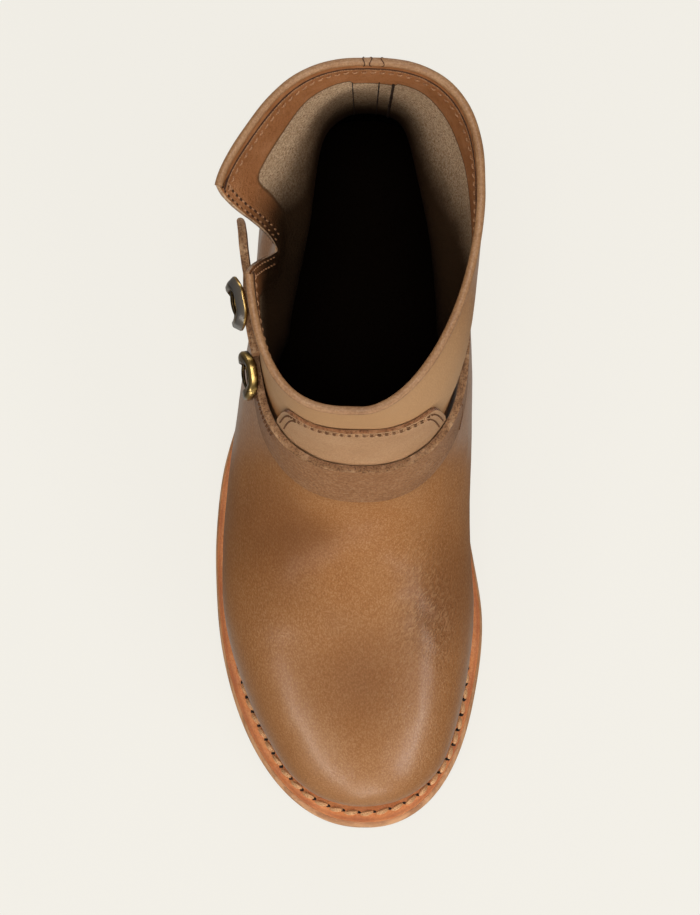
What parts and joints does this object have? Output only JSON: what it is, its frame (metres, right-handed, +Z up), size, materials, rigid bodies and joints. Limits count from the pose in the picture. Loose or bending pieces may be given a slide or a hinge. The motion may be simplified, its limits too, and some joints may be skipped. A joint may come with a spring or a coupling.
{
  "type": "ankle bootie",
  "caption": "Right pull-on leather ankle boot with a round toe, notched collar, buckled instep and collar straps, stitched welt and stacked heel.",
  "frame": {"origin": "on the floor under the tread point of the forefoot", "axes": "+Z up, -Y towards the toe, +Y towards the heel, +X towards the inner side of the foot"},
  "size_m": [0.1018, 0.2693, 0.1715],
  "materials": {
    "outsole": "tan sole leather with a burnished edge",
    "heel": "stacked leather, dyed tan",
    "welt": "natural orange leather, stitched",
    "insole": "smooth lining leather",
    "upper": "tan-brown oiled leather, semi-gloss",
    "binding": "rolled tan leather edge",
    "straps": "tan-brown leather with raw edges",
    "brass": "antique brass"
  },
  "bodies": {
    "root": {"outsole": "outsole", "heel": "heel", "welt": "welt", "insole": "insole", "upper": "upper", "collar_binding": "binding", "front_panel": "upper", "instep_strap": "straps", "collar_strap": "straps", "instep_buckle": "brass", "instep_prong": "brass", "collar_buckle": "brass", "collar_prong": "brass"}
  },
  "joints": []
}
